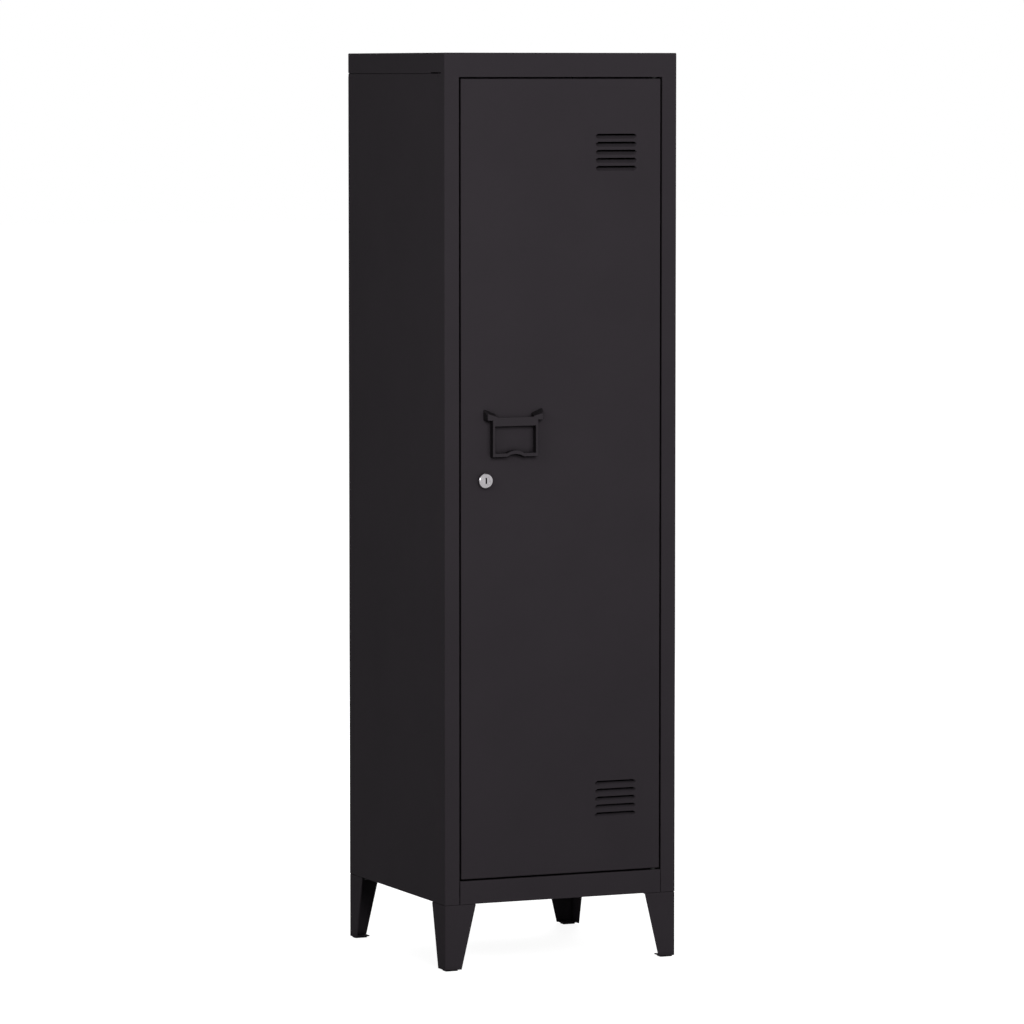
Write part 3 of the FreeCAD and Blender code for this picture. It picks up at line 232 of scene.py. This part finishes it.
def powder_coat(name):
    """Fine-textured matte powder coat, with shade painted into its colour down in seams, slots and corners.
    """
    coat = Shader(name, Specular_IOR_Level=COAT_SPECULAR)
    clouds = coat.noise(COAT_CLOUD_SCALE, CLOUD_DETAIL)
    grain = coat.noise(COAT_GRAIN_SCALE, GRAIN_DETAIL)
    toned = coat.mix(coat.spread(clouds, NOISE_SPAN), *shades(COAT_COLOUR, COAT_CLOUD_SHADES))
    speckle = coat.spread(grain, COAT_SPECKLE_SPAN, (0.0, COAT_SPECKLE_SHARE))
    speckled = coat.mix(speckle, toned, shade(COAT_COLOUR, COAT_SPECKLE_SHADE))
    # Painted shade in the coat's colour, from ambient occlusion in seams and corners.
    clear_of_coat_shade = coat.spread(coat.openness(COAT_PAINTED_SHADE_REACH), COAT_PAINTED_SHADE_SPAN)
    coat.feed("Base Color", coat.mix(clear_of_coat_shade, shade(COAT_COLOUR, COAT_PAINTED_SHADE), speckled))
    coat.feed("Roughness", coat.spread(grain, NOISE_SPAN, COAT_ROUGHNESS))
    coat.bump(grain, COAT_GRAIN_HEIGHT)
    return coat.material


def chrome(name):
    """Satin chrome plate, with shade painted into its colour down in the key slot."""
    metal = Shader(name, Metallic=1.0)
    clouds = metal.noise(CHROME_CLOUD_SCALE, CLOUD_DETAIL)
    plated = metal.mix(clouds, *shades(CHROME_COLOUR, CHROME_CLOUD_SHADES))
    # Painted shade: the key slot's colour is darkened by the lock's own ambient occlusion.
    clear_of_slot_shade = metal.spread(metal.openness(CHROME_SLOT_PAINTED_SHADE_REACH, own_only=True), CHROME_SLOT_PAINTED_SHADE_SPAN)
    metal.feed("Base Color", metal.mix(clear_of_slot_shade, shade(CHROME_COLOUR, CHROME_SLOT_PAINTED_SHADE), plated))
    metal.feed("Roughness", metal.spread(clouds, NOISE_SPAN, CHROME_ROUGHNESS))
    return metal.material


def zinc(name):
    """Bright zinc plate with a faint bloom."""
    metal = Shader(name, Metallic=1.0)
    clouds = metal.noise(ZINC_CLOUD_SCALE, CLOUD_DETAIL)
    metal.feed("Base Color", metal.mix(clouds, *shades(ZINC_COLOUR, ZINC_CLOUD_SHADES)))
    metal.feed("Roughness", metal.spread(clouds, NOISE_SPAN, ZINC_ROUGHNESS))
    return metal.material


def moulded(name, colour, roughness, specular=0.3, painted_shade_reach=0.012, painted_shade_span=(0.25, 0.85),
            painted_shade=0.12):
    """Moulded or oxidised black surface with a very fine grain, with shade painted into its colour in its
    hollows and next to nearby parts.
    """
    skin = Shader(name, Specular_IOR_Level=specular)
    grain = skin.noise(MOULD_GRAIN_SCALE, GRAIN_DETAIL)
    speckled = skin.mix(grain, *shades(colour, MOULD_GRAIN_SHADES))
    # Painted shade in the colour, from ambient occlusion in hollows and near other parts.
    clear_of_hollow_shade = skin.spread(skin.openness(painted_shade_reach), painted_shade_span)
    skin.feed("Base Color", skin.mix(clear_of_hollow_shade, shade(colour, painted_shade), speckled))
    skin.feed("Roughness", skin.spread(grain, NOISE_SPAN, roughness))
    skin.bump(grain, MOULD_GRAIN_HEIGHT)
    return skin.material


SLOT_MATERIALS = {
    "powder_coat": powder_coat("black_powder_coat"),
    # The pull's wide reach paints dark shade on its sides and walls, which stand close to the door.
    "pull_moulding": moulded("black_pull_moulding", PULL_COLOUR, roughness=(0.5, 0.62), specular=0.03,
                             painted_shade_reach=0.12, painted_shade_span=(0.84, 1.0), painted_shade=0.26),
    "lock_chrome": chrome("satin_chrome_plate"),
    "zinc_steel": zinc("zinc_plate"),
    "black_oxide_steel": moulded("black_oxide", OXIDE_COLOUR, roughness=(0.4, 0.55), specular=0.08),
    "nylon": moulded("black_nylon", NYLON_COLOUR, roughness=(0.5, 0.65), specular=0.03),
    "rubber": moulded("black_rubber", RUBBER_COLOUR, roughness=(0.7, 0.85)),
}


def dress_nodes():
    for node, slot in node_slots.items():
        materials = nodes[node].data.materials
        materials.clear()
        materials.append(SLOT_MATERIALS[slot])


def solid_corners(node):
    """The corners of each separate screw of a node, told apart by the space between them."""
    groups = []
    for vertex in nodes[node].data.vertices:
        near = [group for group in groups if (group[0] - vertex.co).length < SCREWS_APART]
        if near:
            near[0].append(vertex.co.copy())
        else:
            groups.append([vertex.co.copy()])
    return groups


def add_loop(mesh, points, height):
    return [mesh.verts.new((x, y, height)) for x, y in points]


def circle_points(radius):
    angles = [2 * math.pi * side / SCREW_SIDES for side in range(SCREW_SIDES)]
    return [(radius * math.cos(angle), radius * math.sin(angle)) for angle in angles]


def cross_points(radius, shares):
    """The outline of a cross, from the reach and half width of its arms as shares of a radius."""
    reach, half_width = [radius * share for share in shares]
    quarter = [(reach, -half_width), (reach, half_width), (half_width, half_width)]
    points = []
    for turn in range(4):
        points += quarter
        quarter = [(-y, x) for x, y in quarter]
    return points


def join_loops(mesh, first, second):
    """A band of faces between two loops of as many corners."""
    for index, corner in enumerate(first):
        mesh.faces.new((first[index - 1], corner, second[index], second[index - 1]))


def loop_edges(mesh, loop):
    return [mesh.edges.get((loop[index - 1], corner)) for index, corner in enumerate(loop)]


def add_screw(mesh, radius, length):
    """A pan-head screw with a cross recess, its head above height zero, and ridges for its thread.

    Returns its corners.
    """
    shank = radius * SCREW_SHANK
    core = shank - radius * SCREW_THREAD_DEPTH
    ridges = int((length - SCREW_HEAD_HEIGHT) / SCREW_THREAD_PITCH)
    tip = SCREW_HEAD_HEIGHT - length
    loops = [add_loop(mesh, circle_points(core), tip)]
    for ridge in range(ridges):
        height = tip + (ridge + 0.5) * SCREW_THREAD_PITCH
        loops.append(add_loop(mesh, circle_points(shank), height))
        loops.append(add_loop(mesh, circle_points(core), height + SCREW_THREAD_PITCH / 2))
    loops.append(add_loop(mesh, circle_points(core), 0.0))
    for share, rise in SCREW_DOME:
        loops.append(add_loop(mesh, circle_points(radius * share), SCREW_HEAD_HEIGHT * rise))
    for lower, upper in zip(loops, loops[1:]):
        join_loops(mesh, lower, upper)
    mesh.faces.new(loops[0])
    top = SCREW_HEAD_HEIGHT * SCREW_DOME[-1][1]
    rim = add_loop(mesh, cross_points(radius, SCREW_RECESS_TOP), top)
    floor = add_loop(mesh, cross_points(radius, SCREW_RECESS_FLOOR), top - SCREW_RECESS_DEPTH)
    join_loops(mesh, rim, floor)
    mesh.faces.new(floor)
    bmesh.ops.triangle_fill(mesh, edges=loop_edges(mesh, loops[-1]) + loop_edges(mesh, rim), use_beauty=True)
    return [corner for loop in loops + [rim, floor] for corner in loop]


def add_screws(node, facing):
    """Detailed screws in place of a node's plain ones, at the same spots and of the same size."""
    facing = Vector(facing)
    upright = facing.to_track_quat("Z", "Y").to_matrix().to_4x4()
    mesh = bmesh.new()
    for index, corners in enumerate(solid_corners(node)):
        heights = [corner.dot(facing) for corner in corners]
        middle = sum(corners, Vector()) / len(corners)
        axis_spot = middle - facing * middle.dot(facing)
        radius = max((corner - facing * corner.dot(facing) - axis_spot).length for corner in corners)
        seat = axis_spot + facing * (max(heights) - SCREW_HEAD_HEIGHT)
        turned = upright @ Matrix.Rotation(index * SCREW_TURN_EACH, 4, "Z")
        screw = add_screw(mesh, radius, max(heights) - min(heights))
        bmesh.ops.transform(mesh, matrix=Matrix.Translation(seat) @ turned, verts=screw)
    bmesh.ops.recalc_face_normals(mesh, faces=mesh.faces)
    name = "cross_recess_" + node
    data = bpy.data.meshes.new(name)
    mesh.to_mesh(data)
    mesh.free()
    data.set_sharp_from_angle(angle=SCREW_SHARP_ANGLE)
    data.materials.append(SLOT_MATERIALS[node_slots[node]])
    piece = bpy.data.objects.new(name, data)
    bpy.context.scene.collection.objects.link(piece)
    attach(piece, node_bodies[node])
    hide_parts(node)


def add_camera():
    data = bpy.data.cameras.new("photo_camera")
    data.lens = CAMERA_LENS_MM
    data.sensor_width = CAMERA_SENSOR_MM
    data.sensor_fit = "HORIZONTAL"
    data.clip_end = CAMERA_SIGHT_END
    camera = bpy.data.objects.new("photo_camera", data)
    camera.location = CAMERA_SPOT
    camera.rotation_euler = (math.pi / 2 - CAMERA_PITCH, 0.0, -CAMERA_YAW)
    bpy.context.scene.collection.objects.link(camera)
    bpy.context.scene.camera = camera


def add_area_light(name, watts, size, spot, aim):
    data = bpy.data.lights.new(name, "AREA")
    data.shape = "SQUARE"
    data.size = size
    data.energy = watts
    light = bpy.data.objects.new(name, data)
    light.location = spot
    light.rotation_euler = (Vector(aim) - Vector(spot)).to_track_quat("-Z", "Y").to_euler()
    bpy.context.scene.collection.objects.link(light)


def shows_background(tree):
    """1 for rays that should see the white studio: straight from the camera, mirrored or passed through."""
    path = add_node(tree, "ShaderNodeLightPath")
    shown = path.outputs["Is Camera Ray"]
    for name in ("Is Glossy Ray", "Is Transmission Ray"):
        either = add_node(tree, "ShaderNodeMath", {0: shown, 1: path.outputs[name]}, operation="MAXIMUM")
        shown = either.outputs["Value"]
    return shown


def add_world():
    """White to look at, and a softer light on the cabinet, fading from the walls to the ceiling."""
    world = bpy.data.worlds.new("studio")
    world.use_nodes = True
    tree = world.node_tree
    background = tree.nodes["Background"]
    background.inputs["Color"].default_value = (*STUDIO_COLOUR, 1.0)
    direction = add_node(tree, "ShaderNodeTexCoord").outputs["Generated"]
    upward = add_node(tree, "ShaderNodeSeparateXYZ", {"Vector": direction}).outputs["Z"]
    fill = map_range(tree, upward, (WALL_TOP, CEILING_START), (WALL_FILL, CEILING_FILL))
    strength = map_range(tree, shows_background(tree), FULL_SPAN, (fill, BACKGROUND_WHITE))
    tree.links.new(strength, background.inputs["Strength"])
    bpy.context.scene.world = world


def pale_floor():
    """A pale matte surface that takes the shadow, with a glow that brings it up to plain white."""
    material = bpy.data.materials.new("pale_floor")
    material.use_nodes = True
    tree = material.node_tree
    tree.nodes.remove(tree.nodes["Principled BSDF"])
    matte = add_node(tree, "ShaderNodeBsdfDiffuse", {"Color": (*FLOOR_COLOUR, 1.0)})
    place = add_node(tree, "ShaderNodeNewGeometry").outputs["Position"]
    distance = add_node(tree, "ShaderNodeVectorMath", {0: place}, operation="LENGTH").outputs["Value"]
    white = map_range(tree, distance, (0.0, FLOOR_SHADOW_REACH), (FLOOR_GLOW_AT_FEET, BACKGROUND_WHITE),
                      interpolation_type="SMOOTHSTEP")
    strength = add_node(tree, "ShaderNodeMath", {0: shows_background(tree), 1: white}, operation="MULTIPLY")
    glow = add_node(tree, "ShaderNodeEmission", {"Strength": strength.outputs["Value"]})
    total = add_node(tree, "ShaderNodeAddShader", {0: matte.outputs["BSDF"], 1: glow.outputs["Emission"]})
    tree.links.new(total.outputs["Shader"], tree.nodes["Material Output"].inputs["Surface"])
    return material


def add_floor():
    """Pale floor that runs out to plain white, with a faint shadow round the feet."""
    mesh = bpy.data.meshes.new("floor")
    corners = [(x * FLOOR_HALF, y * FLOOR_HALF, 0.0) for x, y in ((-1, -1), (1, -1), (1, 1), (-1, 1))]
    mesh.from_pydata(corners, [], [(0, 1, 2, 3)])
    mesh.materials.append(pale_floor())
    floor = bpy.data.objects.new("floor", mesh)
    bpy.context.scene.collection.objects.link(floor)


dress_nodes()
for screw_node, heads_face in SCREW_HEADS_FACE.items():
    add_screws(screw_node, heads_face)
add_camera()
add_world()
for lamp_name, lamp in LAMPS.items():
    add_area_light(lamp_name, **lamp)
add_floor()
bpy.context.scene.view_settings.view_transform = "Standard"
